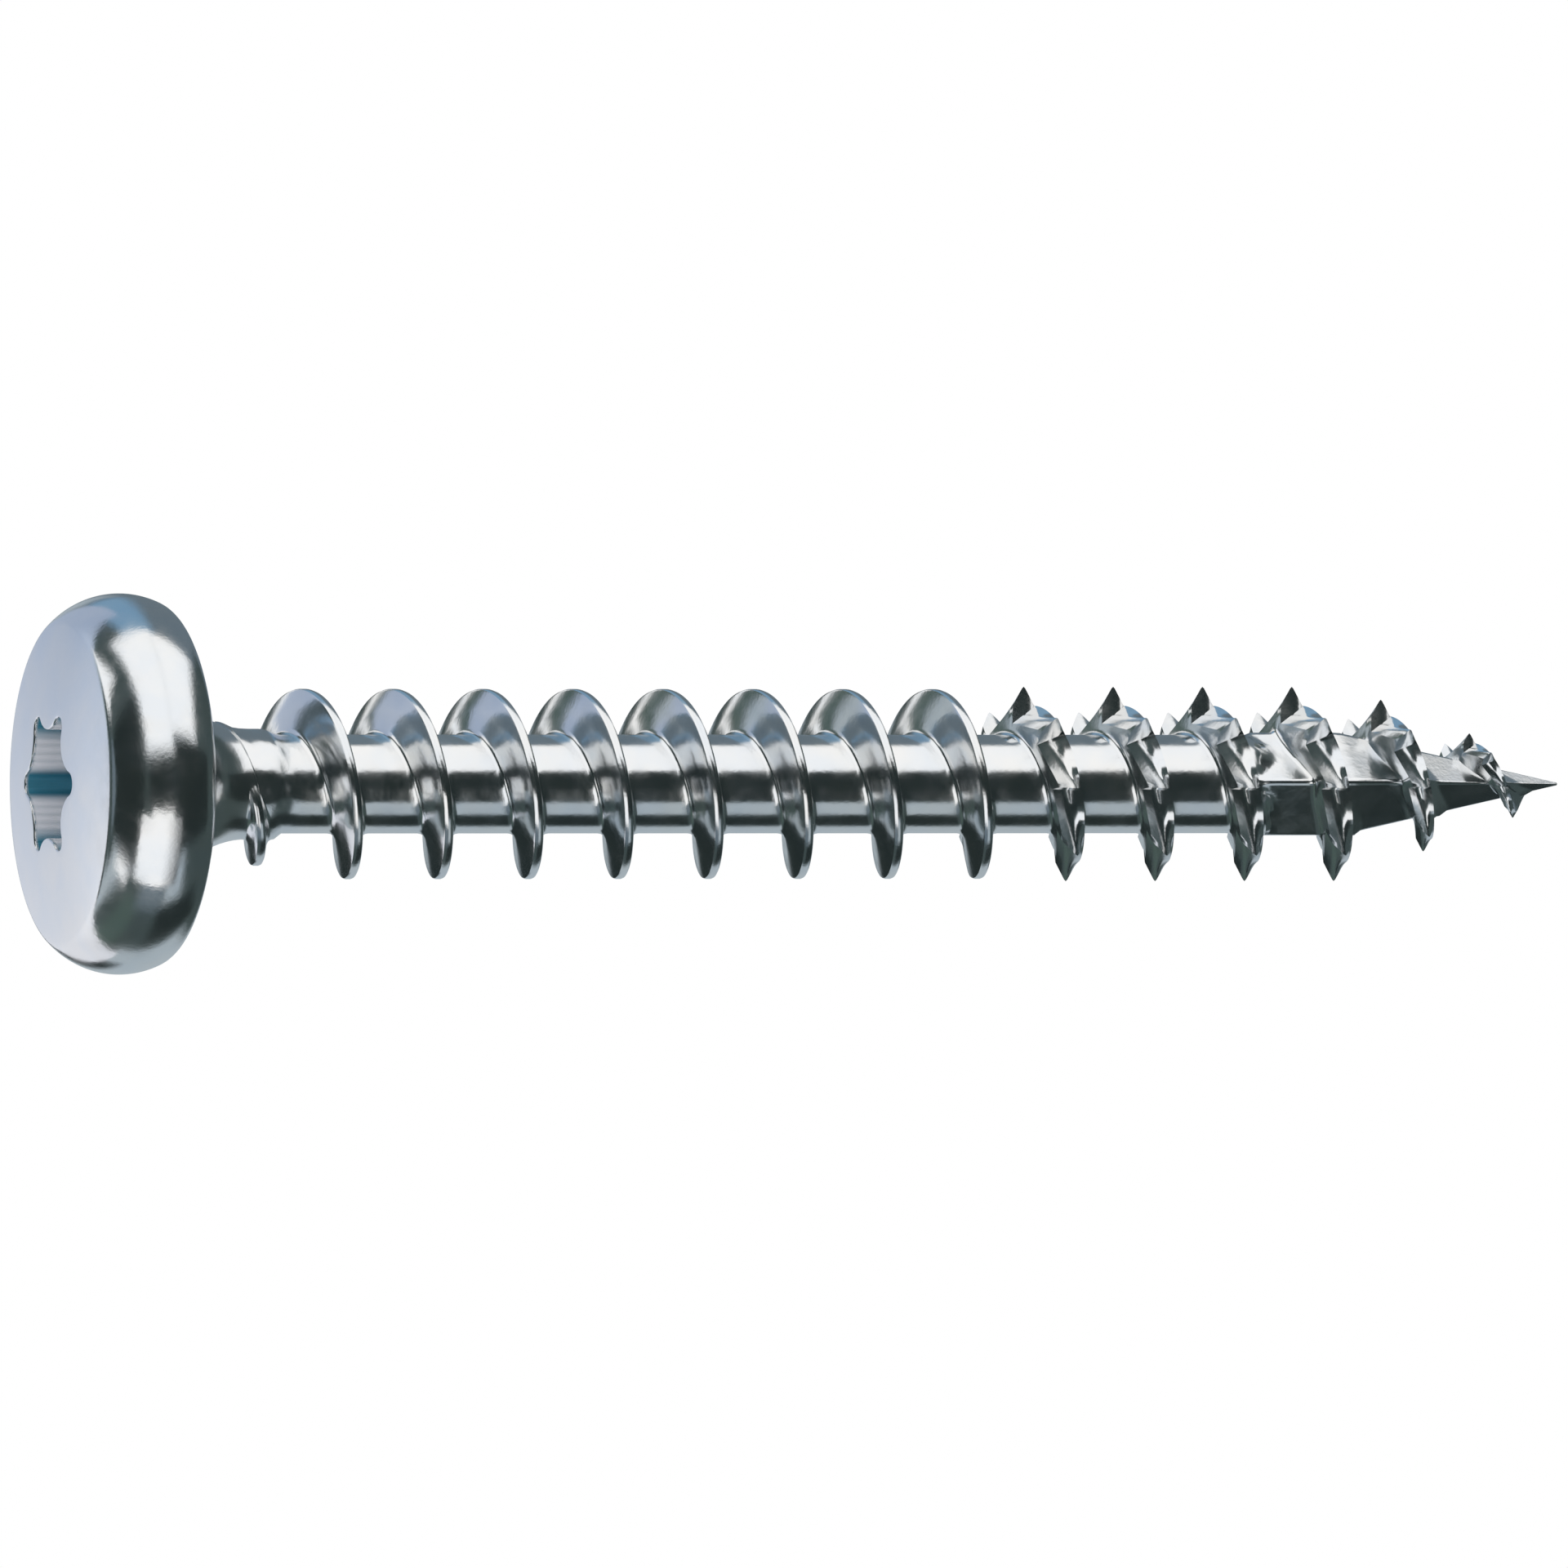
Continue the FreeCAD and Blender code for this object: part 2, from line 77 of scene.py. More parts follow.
FLARE_RADIUS = 2.6
FLARE_END = 5.6
NECK_RADIUS = 1.45
NECK_END = 6.0
CORE_START = 6.4
CORE_RADIUS = 1.3
CORE_END = 33.3
ROOT_SLOPE = 0.5
FLAT_TURN = 90.0
ARRIS_RADIUS = 1.4
ARRIS_AZIMUTH = 87.4
ARRIS_START = 33.1
ARRIS_FULL = 33.5
ARRIS_SUNK = 0.1
ARRIS_EASED = 0.03
POINT_TAPER = 36.0
POINT_BLEND = 0.03
TIP_LEVEL = 42.15
TIP_CUT = 42.11
TIP_RADIUS = 0.03
TIP_BLUNT = 0.02
HEAD_JOIN = 4.75


def between(value, low, high):
    """0 below low, 1 above high and a straight run in between."""
    return min(1.0, max(0.0, (value - low) / (high - low)))


def mix(first, last, share):
    return first + (last - first) * share


def curved(first, corner, last, t):
    """A point of the soft curve that cuts a corner, from its first end (0) to its last (1)."""
    return tuple(
        (1 - t)**2 * start + 2 * t * (1 - t) * bend + t**2 * end
        for start, bend, end in zip(first, corner, last)
    )


def placed(azimuth, radius, level):
    """Where a point at an azimuth, a radius and a level lies."""
    turn = math.radians(azimuth)
    return radius * math.cos(turn), radius * math.sin(turn), level


def turned_radius(level):
    """The round blank: hollow flare under the head, neck, core and the cone that runs into the point."""
    if level < FLARE_END:
        below = min(FLARE_END - level, FLARE_RADIUS)
        return NECK_RADIUS + FLARE_RADIUS - math.sqrt(FLARE_RADIUS**2 - below**2)
    if level < CORE_END:
        return mix(NECK_RADIUS, CORE_RADIUS, between(level, NECK_END, CORE_START))
    return max(0.0, CORE_RADIUS - ROOT_SLOPE * (level - CORE_END))


def pinched_radius(level, azimuth):
    """The four flats of the point, with slightly eased arrises."""
    arris = mix(CORE_RADIUS - ARRIS_SUNK, ARRIS_RADIUS, between(level, ARRIS_START, ARRIS_FULL))
    arris = mix(arris, TIP_RADIUS, between(level, POINT_TAPER, TIP_LEVEL))
    off_flat = (azimuth - ARRIS_AZIMUTH) % FLAT_TURN - FLAT_TURN / 2
    flat = arris * math.cos(math.radians(FLAT_TURN / 2)) / math.cos(math.radians(off_flat))
    return min(flat, arris * (1.0 - ARRIS_EASED))


def body_radius(level, azimuth):
    """The screw without its thread. The point's flats run softly into the round core."""
    turned = turned_radius(level)
    if level < ARRIS_START:
        return turned
    pinched = pinched_radius(level, azimuth)
    near = max(POINT_BLEND - abs(turned - pinched), 0.0) / POINT_BLEND
    return max(turned, pinched) + near**2 * POINT_BLEND / 4


def dipped(tip, foot, azimuth):
    """A straight line down a tooth's steep face or up its back, as a radius at that azimuth."""
    past = (azimuth - TOOTH_AZIMUTH) % TOOTH_STEP
    first, last, along, span = tip, foot, past, NOTCH_LEAD
    if past > NOTCH_LEAD:
        first, last, along, span = foot, tip, past - NOTCH_LEAD, TOOTH_STEP - NOTCH_LEAD
    rising = first * math.sin(math.radians(along)) + last * math.sin(math.radians(span - along))
    return first * last * math.sin(math.radians(span)) / rising


# The crest's bevel is rounded through one point near its corner. The roof of a tooth has two points
# between shoulder and ridge, so that only its top is rounded.

BEVEL_POINT = 0.3
ROOF_POINTS = (0.5, 0.85)


def plain_half(level):
    """Half of the plain ridge's section: width and radius at shoulder, bevel, crest edge and middle."""
    grown = math.sin(math.pi / 2 * between(level, THREAD_START, THREAD_FULL))
    crest = mix(CORE_RADIUS, THREAD_RADIUS, grown)
    return [
        (CREST_HALF, crest - CREST_BEVEL),
        (CREST_HALF - BEVEL_POINT * CREST_BEVEL, crest - BEVEL_POINT * CREST_BEVEL),
        (CREST_HALF - CREST_BEVEL, crest),
        (0.0, crest),
    ]


def tooth_half(level, azimuth, towards_head):
    """The same half of a saw tooth's section. In a notch the side towards the head is cut deeper."""
    crest = mix(TOOTH_RADIUS, END_RADIUS, between(level, CREST_TAPER, THREAD_END))
    shrink = crest / TOOTH_RADIUS
    slope = math.tan(TOOTH_FLANK)
    shoulder = crest - shrink * TOOTH_RISE
    middle = dipped(crest, crest - shrink * NOTCH_MIDDLE, azimuth)
    half = shrink * TOOTH_HALF
    if towards_head:
        low = dipped(shoulder, crest - shrink * NOTCH_SIDE, azimuth)
        half += (shoulder - low) * slope
        shoulder = low
    roof = [(mix(half, 0.0, share), mix(shoulder, middle, share)) for share in ROOF_POINTS]
    return [(half, shoulder)] + roof + [(0.0, middle - shrink * RIDGE_ROUND)]


# Where the thread has run out, its line lies a little under the point's surface. The fillet at its
# root shrinks with a low ridge, and neighbouring points of the line keep a least gap.

FADED_SHARE = 0.9
FILLET_REACH = 0.8 * ROOT_FILLET
FILLET_OF_HEIGHT = 0.6
FILLET_POINTS = (0.0, 0.3, 0.6, 1.0)
RIDGE_POINTS = 9
LEAST_GAP = 0.006
VALLEY_STEPS = 4
HALF_LINES = VALLEY_STEPS + RIDGE_POINTS - 1
LINES = 2 * HALF_LINES + 1


def ridge_half(level, azimuth, side):
    """One side of the ridge, from the valley to its middle, as widths from the middle and radii."""
    toothed = between(level, SERRATION_START, SERRATION_START + SERRATION_BLEND)
    plain = plain_half(level)
    tooth = tooth_half(level, azimuth, side < 0)
    top = [
        (mix(first[0], last[0], toothed), mix(first[1], last[1], toothed))
        for first, last in zip(plain, tooth)
    ]
    faded = between(level, THREAD_END, THREAD_END + THREAD_FADE)
    root = body_radius(level, azimuth)
    top = [(width, mix(radius, root * FADED_SHARE, faded)) for width, radius in top]
    half, shoulder = top[0]
    height = max(0.0, shoulder - root)
    slope = math.tan(mix(PLAIN_FLANK, TOOTH_FLANK, toothed))
    foot = half + height * slope
    reach = min(FILLET_REACH, FILLET_OF_HEIGHT * height)
    outer = (foot + reach, root)
    inner = (foot - reach * slope, root + reach)
    fillet = [curved(outer, (foot, root), inner, share) for share in FILLET_POINTS]
    flank = (mix(inner[0], half, 0.5), mix(inner[1], shoulder, 0.5))
    spread = [
        (width + LEAST_GAP * (RIDGE_POINTS - 1 - order), radius)
        for order, (width, radius) in enumerate(fillet + [flank] + top)
    ]
    valley = [(mix(PITCH / 2, spread[0][0], step / VALLEY_STEPS), 0.0) for step in range(VALLEY_STEPS)]
    return valley + spread


# The shank is wound from one line across a pitch, with the ridge's middle in the middle of the line.
# It starts a little more than a pitch below where the head begins, and is cut there afterwards.

SHANK_SPARE = 0.2
TOUCHING = 0.001

screw = bmesh.new()
rank = screw.verts.layers.int.new("rank")
plating = screw.verts.layers.float_color.new("plating")
shank_foot = HEAD_JOIN - PITCH - SHANK_SPARE
turns = math.ceil((TIP_LEVEL + PITCH / 2 - shank_foot) / PITCH)
first_azimuth = START_AZIMUTH + FULL_TURN * (shank_foot - THREAD_START) / PITCH
first_azimuth = TOOTH_AZIMUTH + STATION * round((first_azimuth - TOOTH_AZIMUTH) / STATION)
first_level = THREAD_START + PITCH * (first_azimuth - START_AZIMUTH) / FULL_TURN
line = []
for number in range(LINES):
    offset = PITCH * (number / (LINES - 1) - 0.5)
    point = screw.verts.new((CORE_RADIUS, 0.0, first_level + offset))
    point[rank] = number
    line.append(point)
edges = [screw.edges.new(pair) for pair in zip(line, line[1:])]
bmesh.ops.rotate(screw, verts=line, matrix=Matrix.Rotation(math.radians(first_azimuth), 3, "Z"))
bmesh.ops.spin(
    screw, geom=line + edges, axis=(0, 0, 1), cent=(0, 0, 0), dvec=(0, 0, PITCH / STATIONS),
    angle=math.radians(FULL_TURN), steps=STATIONS, use_merge=False,
)
one_turn = screw.verts[:] + screw.edges[:] + screw.faces[:]
for turn in range(1, turns):
    copied = bmesh.ops.duplicate(screw, geom=one_turn)["geom"]
    verts = [item for item in copied if isinstance(item, bmesh.types.BMVert)]
    bmesh.ops.translate(screw, vec=(0, 0, PITCH * turn), verts=verts)
bmesh.ops.remove_doubles(screw, verts=screw.verts, dist=TOUCHING)

for vert in screw.verts:
    number = vert[rank]
    middle = vert.co.z - PITCH * (number / (LINES - 1) - 0.5)
    azimuth = START_AZIMUTH + FULL_TURN * (middle - THREAD_START) / PITCH
    side = -1 if number < HALF_LINES else 1
    width, ridge_radius = ridge_half(middle, azimuth, side)[min(number, LINES - 1 - number)]
    level = middle + side * width
    vert.co = placed(azimuth, max(ridge_radius, body_radius(level, azimuth)), level)
    vert[plating] = (0.0, 0.0, 0.0, 1.0)

# The tip is cut a little short and blunted, and the shank is cut square where the head begins.

ON_CUT = 1e-6
TIP_FACE = 0.5
bmesh.ops.bisect_plane(
    screw, geom=screw.verts[:] + screw.edges[:] + screw.faces[:], dist=ON_CUT,
    plane_co=(0, 0, TIP_CUT), plane_no=(0, 0, 1), clear_outer=True,
)
bmesh.ops.bisect_plane(
    screw, geom=screw.verts[:] + screw.edges[:] + screw.faces[:], dist=ON_CUT,
    plane_co=(0, 0, HEAD_JOIN), plane_no=(0, 0, 1), clear_inner=True,
)


def open_ring(level):
    """The edges of the open end that lies at a level."""
    return [
        edge for edge in screw.edges
        if edge.is_boundary and all(abs(vert.co.z - level) < TOUCHING for vert in edge.verts)
    ]


def ring_verts(ring):
    return {vert for edge in ring for vert in edge.verts}


def azimuth_of(vert):
    return math.degrees(math.atan2(vert.co.y, vert.co.x)) % FULL_TURN


def off_station(vert):
    """Angle from a point of the cut to the nearest station of the shank."""
    return abs((azimuth_of(vert) - TOOTH_AZIMUTH + STATION / 2) % STATION - STATION / 2)


blunt = bmesh.ops.extrude_edge_only(screw, edges=open_ring(TIP_CUT))["geom"]
blunt_verts = [item for item in blunt if isinstance(item, bmesh.types.BMVert)]
bmesh.ops.scale(screw, vec=(TIP_FACE, TIP_FACE, 1.0), verts=blunt_verts)
bmesh.ops.translate(screw, vec=(0, 0, TIP_BLUNT), verts=blunt_verts)
bmesh.ops.contextual_create(screw, geom=[item for item in blunt if isinstance(item, bmesh.types.BMEdge)])

# The cut leaves stray points where it crosses the thread's slant. They join the nearest station.

ON_STATION = 0.01
join = sorted(ring_verts(open_ring(HEAD_JOIN)), key=azimuth_of)
stations = [vert for vert in join if off_station(vert) < ON_STATION]
strays = {
    vert: min(stations, key=lambda station: (station.co - vert.co).length)
    for vert in join if off_station(vert) >= ON_STATION
}
bmesh.ops.weld_verts(screw, targetmap=strays)

# Head: from the flare over the bearing face, the rounded edge, the bulging rim and the domed drive
# face to the mouth of the recess, then down its walls to the drilled cone in its floor.

HEAD_RADIUS = 5.0
HEAD_HEIGHT = 3.3
CROWN_RADIUS = 21.0
RIM_RADIUS = 2.15
WIDEST_LEVEL = 2.05
BEARING_ROUND = 0.6
FACE_ROUND = 0.12
RECESS_OUTER = 1.975
RECESS_INNER = 1.425
LOBE_RADIUS = 0.305
LOBE_SHARE = 60.0
FIRST_LOBE = 90.0
RECESS_DEPTH = 1.95
MOUTH_BEVEL = 0.05
FLOOR_ROUND = 0.15
DRILL_RADIUS = 1.3
DRILL_DEPTH = 0.35
# Out from here in a lobe, the recess's painted reflection turns from pale to teal.
LOBE_REFLECTION_START = 1.575
LOBE_REFLECTION_FULL = 1.875
CROWN_DROP = CROWN_RADIUS - math.sqrt(CROWN_RADIUS**2 - RECESS_INNER**2)


def recess_radius(azimuth, outward=0.0):
    """The six-lobe outline: a small arc round each lobe's end and a large one over each rib.
    The whole outline can be set outward by the same distance everywhere."""
    off_lobe = abs((azimuth - FIRST_LOBE + LOBE_SHARE / 2) % LOBE_SHARE - LOBE_SHARE / 2)
    lobe_reach = RECESS_OUTER - LOBE_RADIUS
    slant = lobe_reach * math.cos(math.radians(LOBE_SHARE / 2))
    rib_radius = (
        (lobe_reach**2 + RECESS_INNER**2 - 2 * RECESS_INNER * slant - LOBE_RADIUS**2)
        / (2 * (LOBE_RADIUS - RECESS_INNER + slant))
    )
    rib_reach = RECESS_INNER + rib_radius
    lobe = LOBE_RADIUS + outward
    rib = rib_radius - outward
    share = lobe / (lobe + rib)
    touch_across = share * rib_reach * math.sin(math.radians(LOBE_SHARE / 2))
    touch_along = mix(lobe_reach, rib_reach * math.cos(math.radians(LOBE_SHARE / 2)), share)
    angle = math.radians(off_lobe)
    if angle < math.atan2(touch_across, touch_along):
        return lobe_reach * math.cos(angle) + math.sqrt(lobe**2 - (lobe_reach * math.sin(angle))**2)
    angle = math.radians(LOBE_SHARE / 2 - off_lobe)
    return rib_reach * math.cos(angle) - math.sqrt(rib**2 - (rib_reach * math.sin(angle))**2)


# Length of the outline from one rib to the next, step by step, so that points can lie evenly along it.

OUTLINE_STEPS = 600
outline_run = [0.0]
for step in range(OUTLINE_STEPS):
    first, last = LOBE_SHARE * step / OUTLINE_STEPS, LOBE_SHARE * (step + 1) / OUTLINE_STEPS
    start = placed(first, recess_radius(first), 0.0)
    end = placed(last, recess_radius(last), 0.0)
    outline_run.append(outline_run[-1] + math.dist(start, end))


def evenly_along(azimuth):
    """Moves azimuths so that points that lay evenly round the head lie evenly along the lobes."""
    rib, part = divmod(azimuth, LOBE_SHARE)
    run = part / LOBE_SHARE * outline_run[-1]
    last = min(max(1, bisect_left(outline_run, run)), OUTLINE_STEPS)
    share = between(run, outline_run[last - 1], outline_run[last])
    return LOBE_SHARE * (rib + (last - 1 + share) / OUTLINE_STEPS)


def dome_level(radius):
    return CROWN_RADIUS - math.sqrt(CROWN_RADIUS**2 - radius**2)


def arc_points(centre, radius, first, last, steps):
    """Points of an arc in the plane of radius and level. Angles are degrees from the outward side."""
    angles = [math.radians(mix(first, last, step / steps)) for step in range(steps + 1)]
    return [(centre[0] + radius * math.cos(angle), centre[1] + radius * math.sin(angle)) for angle in angles]


rim_centre = (HEAD_RADIUS - RIM_RADIUS, WIDEST_LEVEL)
round_level = HEAD_HEIGHT - BEARING_ROUND
round_centre = (
    rim_centre[0] + math.sqrt((RIM_RADIUS - BEARING_ROUND)**2 - (round_level - WIDEST_LEVEL)**2),
    round_level,
)
round_angle = math.degrees(math.atan2(round_level - WIDEST_LEVEL, round_centre[0] - rim_centre[0]))
flare_centre = (NECK_RADIUS + FLARE_RADIUS, FLARE_END)
flare_top = math.degrees(math.asin((HEAD_HEIGHT - FLARE_END) / FLARE_RADIUS))
flare_join = math.degrees(math.asin((HEAD_JOIN - FLARE_END) / FLARE_RADIUS))
rim_to_crown = math.hypot(rim_centre[0], CROWN_RADIUS - WIDEST_LEVEL)
along = (rim_to_crown**2 + CROWN_RADIUS**2 - RIM_RADIUS**2) / (2 * rim_to_crown)
aside = math.sqrt(CROWN_RADIUS**2 - along**2)
face_edge = (
    (along * rim_centre[0] + aside * (CROWN_RADIUS - WIDEST_LEVEL)) / rim_to_crown,
    CROWN_RADIUS - (along * (CROWN_RADIUS - WIDEST_LEVEL) - aside * rim_centre[0]) / rim_to_crown,
)
face_angle = math.degrees(math.atan2(face_edge[1] - WIDEST_LEVEL, face_edge[0] - rim_centre[0]))
rim_last = math.degrees(FACE_ROUND / RIM_RADIUS)
dome_first = face_edge[0] - FACE_ROUND

QUARTERS = (0.25, 0.5, 0.75, 1.0)
FLARE_STEPS = 12
BEARING_STEPS = 8
RIM_STEPS = 28

flare_first, flare_last = FULL_TURN / 2 - flare_join, FULL_TURN / 2 - flare_top
outline = arc_points(flare_centre, FLARE_RADIUS, flare_first, flare_last, FLARE_STEPS)[1:]
flare_edge = outline[-1][0]
outline += [(mix(flare_edge, round_centre[0], share), HEAD_HEIGHT) for share in QUARTERS[:-1]]
outline += arc_points(round_centre, BEARING_ROUND, FULL_TURN / 4, round_angle, BEARING_STEPS)
outline += arc_points(rim_centre, RIM_RADIUS, round_angle, face_angle + rim_last, RIM_STEPS)[1:]
rim_edge, dome_edge = outline[-1], (dome_first, dome_level(dome_first))
outline += [curved(rim_edge, face_edge, dome_edge, share) for share in QUARTERS]


def next_ring(ring, place, dull_and_painted_reflection=0.0):
    """Draws the open ring on to the next ring of the head, where place gives radius and level.
    The plating keeps two marks: how dull it is, where the recess also takes its painted reflection,
    and how far out in a lobe of the recess it lies, where that painted reflection turns teal."""
    drawn = bmesh.ops.extrude_edge_only(screw, edges=ring)["geom"]
    for vert in drawn:
        if isinstance(vert, bmesh.types.BMVert):
            azimuth = azimuth_of(vert)
            vert.co = placed(azimuth, *place(azimuth))
            # How far out in a lobe the point lies, where the recess's painted reflection turns teal.
            in_lobe = between(recess_radius(azimuth), LOBE_REFLECTION_START, LOBE_REFLECTION_FULL)
            vert[plating] = (dull_and_painted_reflection, in_lobe, 0.0, 1.0)
    return [edge for edge in drawn if isinstance(edge, bmesh.types.BMEdge)]


bmesh.ops.subdivide_edges(screw, edges=open_ring(HEAD_JOIN), cuts=1)
ring = open_ring(HEAD_JOIN)
for vert in ring_verts(ring):
    vert.co = placed(azimuth_of(vert), turned_radius(HEAD_JOIN), HEAD_JOIN)
for radius, level in outline:
    ring = next_ring(ring, lambda azimuth: (radius, level))


def on_dome(share, azimuth):
    """On the drive face, from its outer edge (0) to the bevel of the recess's mouth (1)."""
    radius = mix(dome_first, recess_radius(azimuth, MOUTH_BEVEL), share)
    return radius, dome_level(radius)


# The points move round on the first ring, so that they lie evenly along the lobes further in.

DOME_STEPS = 10
ring = next_ring(ring, lambda azimuth: on_dome(1 / DOME_STEPS, azimuth))
for vert in ring_verts(ring):
    moved = evenly_along(azimuth_of(vert))
    vert.co = placed(moved, *on_dome(1 / DOME_STEPS, moved))
for step in range(2, DOME_STEPS + 1):
    ring = next_ring(ring, lambda azimuth: on_dome(step / DOME_STEPS, azimuth))


def mouth_place(share, azimuth):
    """Round the small bevel of the recess's mouth, from the dome (0) to the wall (1)."""
    bend = math.radians(FULL_TURN / 4 * share)
    radius = recess_radius(azimuth, MOUTH_BEVEL * (1 - math.sin(bend)))
    return radius, dome_level(radius) + MOUTH_BEVEL * (1 - math.cos(bend))


def wall_place(share, azimuth):
    """Down the recess's wall, from its mouth (0) to the rounding of the floor (1)."""
    edge = recess_radius(azimuth)
    return edge, mix(dome_level(edge) + MOUTH_BEVEL, RECESS_DEPTH - FLOOR_ROUND, share)


def floor_place(share, azimuth):
    """Round the bend from the wall (0) to the recess's floor (1)."""
    bend = math.radians(FULL_TURN / 4 * share)
    return (
        recess_radius(azimuth, -FLOOR_ROUND * (1 - math.cos(bend))),
        RECESS_DEPTH - FLOOR_ROUND * (1 - math.sin(bend)),
    )


# The plating turns dull just inside the mouth, and from there its colour is a painted reflection. The
# drilled cone's rings are given as a radius and a share of its depth, and the last one is closed with a
# small flat.

THIRDS = (1 / 3, 2 / 3, 1.0)
WALL_TOP = 0.04
DRILL_RINGS = (
    (DRILL_RADIUS - FLOOR_ROUND, 0.1),
    (DRILL_RADIUS * 0.6, 0.4),
    (DRILL_RADIUS * 0.3, 0.7),
    (DRILL_RADIUS * 0.05, 0.93),
)
for share in THIRDS:
    ring = next_ring(ring, lambda azimuth: mouth_place(share, azimuth))
for share in (WALL_TOP,) + QUARTERS:
    ring = next_ring(ring, lambda azimuth: wall_place(share, azimuth), dull_and_painted_reflection=1.0)
for share in QUARTERS:
    ring = next_ring(ring, lambda azimuth: floor_place(share, azimuth), dull_and_painted_reflection=1.0)
for radius, drilled in DRILL_RINGS:
    level = RECESS_DEPTH + drilled * DRILL_DEPTH
    ring = next_ring(ring, lambda azimuth: (radius, level), dull_and_painted_reflection=1.0)
bmesh.ops.contextual_create(screw, geom=ring)

SHARP_ANGLE = math.radians(34.0)
bmesh.ops.translate(screw, vec=(0, 0, -CROWN_DROP), verts=screw.verts)
bmesh.ops.scale(screw, vec=(MM, MM, MM), verts=screw.verts)
bmesh.ops.recalc_face_normals(screw, faces=screw.faces)
for face in screw.faces:
    face.smooth = True
for edge in screw.edges:
    edge.smooth = edge.calc_face_angle(0.0) < SHARP_ANGLE
screw_mesh = bpy.data.meshes.new("zinc_plated_screw")
screw.to_mesh(screw_mesh)
screw.free()
screw_piece = bpy.data.objects.new("zinc_plated_screw", screw_mesh)
bpy.context.scene.collection.objects.link(screw_piece)

# The plating is bright, a little bluish, and not quite even: faint clouds of colour and gloss, and a
# fine grain. Inside the recess it is duller, and its colour is a painted reflection: teal in the lobes
# and pale over the ribs. The sizes of the clouds and of the grain are in patches per metre, and the
# grain's depth is in metres.

BLUISH_ZINC = (0.80, 0.83, 0.86, 1.0)
PALE_ZINC = (0.86, 0.86, 0.85, 1.0)
# Painted reflection in the recess: pale over the ribs and teal in the lobes.
PALE_RIB_REFLECTION = (0.86, 0.86, 0.90, 1.0)
TEAL_LOBE_REFLECTION = (0.06, 0.26, 0.36, 1.0)
RECESS_METALLIC = 0.3
COLOUR_CLOUDS = 700.0
GLOSS_CLOUDS = 1800.0
GLOSSY = 0.13
LESS_GLOSSY = 0.20
GRAIN_SIZE = 9000.0
GRAIN_STRENGTH = 0.25
GRAIN_DEPTH = 0.00001
NOISE_LOW = 0.35
NOISE_HIGH = 0.65

zinc = bpy.data.materials.new("bright_zinc_plating")
zinc.use_nodes = True
nodes, links = zinc.node_tree.nodes, zinc.node_tree.links
nodes.clear()
surface = nodes.new("ShaderNodeBsdfPrincipled")
output = nodes.new("ShaderNodeOutputMaterial")
links.new(surface.outputs["BSDF"], output.inputs["Surface"])
place = nodes.new("ShaderNodeTexCoord")


def noise(scale, detail):
    """A noise that is fixed to the screw."""
    texture = nodes.new("ShaderNodeTexNoise")
    texture.inputs["Scale"].default_value = scale
    texture.inputs["Detail"].default_value = detail
    links.new(place.outputs["Object"], texture.inputs["Vector"])
    return texture.outputs["Fac"]


def ranged(value, low, high):
    """Spreads the middle of a noise over low to high."""
    node = nodes.new("ShaderNodeMapRange")
    node.inputs["From Min"].default_value = NOISE_LOW
    node.inputs["From Max"].default_value = NOISE_HIGH
    node.inputs["To Min"].default_value = low
    node.inputs["To Max"].default_value = high
    links.new(value, node.inputs["Value"])
    return node.outputs["Result"]


tint = nodes.new("ShaderNodeMix")
tint.data_type = "RGBA"
tint.inputs["A"].default_value = BLUISH_ZINC
tint.inputs["B"].default_value = PALE_ZINC
links.new(ranged(noise(COLOUR_CLOUDS, 3.0), 0.0, 1.0), tint.inputs["Factor"])
plating_and_reflection_marks = nodes.new("ShaderNodeVertexColor")
plating_and_reflection_marks.layer_name = "plating"
marks = nodes.new("ShaderNodeSeparateColor")
links.new(plating_and_reflection_marks.outputs["Color"], marks.inputs["Color"])
dull_and_painted_reflection = marks.outputs["Red"]
# The recess's painted reflection: pale over the ribs, teal in the lobes.
recess_painted_reflection = nodes.new("ShaderNodeMix")
recess_painted_reflection.data_type = "RGBA"
recess_painted_reflection.inputs["A"].default_value = PALE_RIB_REFLECTION
recess_painted_reflection.inputs["B"].default_value = TEAL_LOBE_REFLECTION
links.new(marks.outputs["Green"], recess_painted_reflection.inputs["Factor"])
# Inside the recess the painted reflection takes the place of the zinc's own colour.
plated = nodes.new("ShaderNodeMix")
plated.data_type = "RGBA"
links.new(dull_and_painted_reflection, plated.inputs["Factor"])
links.new(tint.outputs["Result"], plated.inputs["A"])
links.new(recess_painted_reflection.outputs["Result"], plated.inputs["B"])
links.new(plated.outputs["Result"], surface.inputs["Base Color"])
shine = nodes.new("ShaderNodeMapRange")
shine.inputs["To Min"].default_value = 1.0
shine.inputs["To Max"].default_value = RECESS_METALLIC
links.new(dull_and_painted_reflection, shine.inputs["Value"])
links.new(shine.outputs["Result"], surface.inputs["Metallic"])
links.new(ranged(noise(GLOSS_CLOUDS, 4.0), GLOSSY, LESS_GLOSSY), surface.inputs["Roughness"])
grain = nodes.new("ShaderNodeBump")
grain.inputs["Strength"].default_value = GRAIN_STRENGTH
grain.inputs["Distance"].default_value = GRAIN_DEPTH
links.new(noise(GRAIN_SIZE, 3.0), grain.inputs["Height"])
links.new(grain.outputs["Normal"], surface.inputs["Normal"])
screw_mesh.materials.append(zinc)

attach(screw_piece, "root")
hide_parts("pan_head_screw")

# Floor: a sheet of white card under the head. It shows only from above, so that it doesn't hide the
# screw from a camera below it, and the drive face doesn't mirror it. Its radius is in metres.

